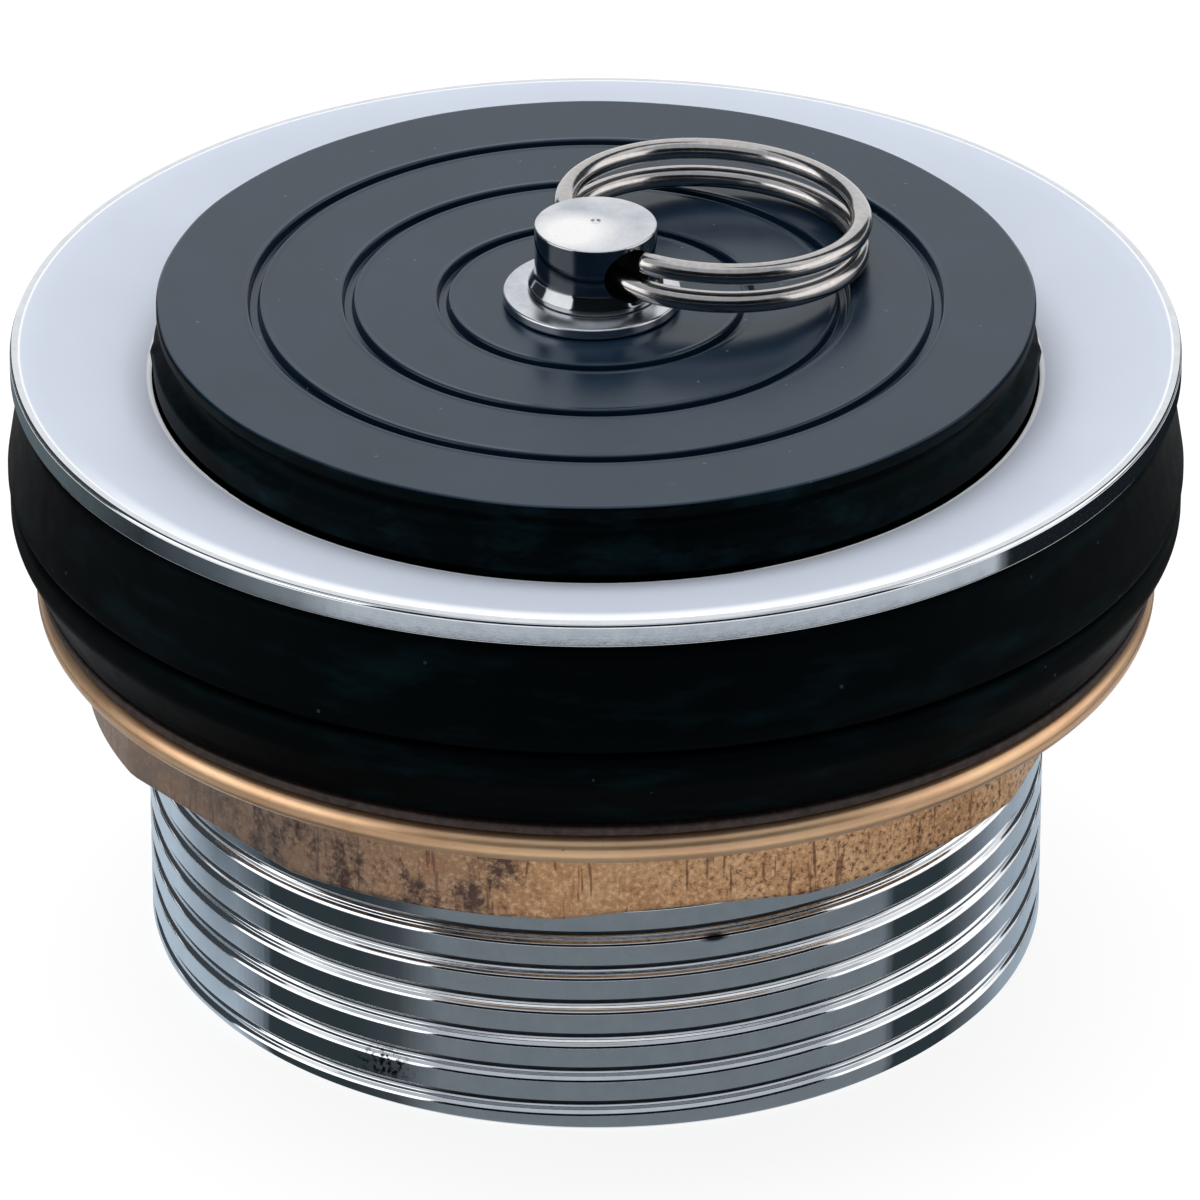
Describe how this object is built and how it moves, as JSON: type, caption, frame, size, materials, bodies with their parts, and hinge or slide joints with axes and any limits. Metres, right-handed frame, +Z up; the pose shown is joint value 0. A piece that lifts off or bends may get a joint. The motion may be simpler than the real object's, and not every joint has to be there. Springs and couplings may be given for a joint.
{
  "type": "drain stopper",
  "caption": "Flanged bath drain fitting with a threaded tail, clamp nut, rubber gaskets and a lift-out ribbed rubber plug with a pull knob and split ring.",
  "frame": {"origin": "centre of the tail's lower end, on the surface that the fitting stands on", "axes": "+Z up along the drain's axis, out of the drain; +X and +Y along the flange, with the reference view looking along +Y"},
  "size_m": [0.0696, 0.0696, 0.0461],
  "materials": {
    "body_chrome": "polished chrome plate on brass",
    "gasket_rubber": "matt moulded rubber",
    "washer_fibre": "plain brown fibre",
    "nut_brass": "raw cast brass, turned collar",
    "plug_rubber": "satin moulded rubber",
    "knob_chrome": "polished chrome plate",
    "plain_steel": "plain steel",
    "ring_steel": "drawn stainless wire"
  },
  "bodies": {
    "drain": {"drain_body": "body_chrome", "upper_gasket": "gasket_rubber"},
    "clamp": {"lower_gasket": "gasket_rubber", "slip_washer": "washer_fibre"},
    "nut": {"lock_nut": "nut_brass"},
    "stopper": {"plug": "plug_rubber", "top_washer": "knob_chrome", "bottom_washer": "plain_steel"},
    "knob": {"knob_post": "knob_chrome", "stem_nut": "plain_steel"},
    "ring": {"split_ring": "ring_steel"}
  },
  "joints": [
    {"name": "clamp_slide", "type": "slide", "parent": "drain", "child": "clamp", "axis": [0, 0, 1], "range_m": [-0.01501, 0]},
    {"name": "lock_nut_turn", "type": "hinge", "parent": "clamp", "child": "nut", "pos_m": [0, 0, 0.01625], "axis": [0, 0, 1], "range_deg": [-2340, 0]},
    {"name": "plug_lift", "type": "slide", "parent": "drain", "child": "stopper", "axis": [0, 0, 1], "range_m": [0, 0.03]},
    {"name": "knob_turn", "type": "hinge", "parent": "stopper", "child": "knob", "pos_m": [0, 0, 0.04205], "axis": [0, 0, 1], "continuous": true},
    {"name": "ring_swing", "type": "hinge", "parent": "knob", "child": "ring", "pos_m": [0, 0, 0.04398], "axis": [0.5736, -0.8192, 0], "range_deg": [0, 188]}
  ],
  "couplings": [
    {"joint": "clamp_slide", "follows": "lock_nut_turn", "m_per_rad": 0.0003675}
  ]
}
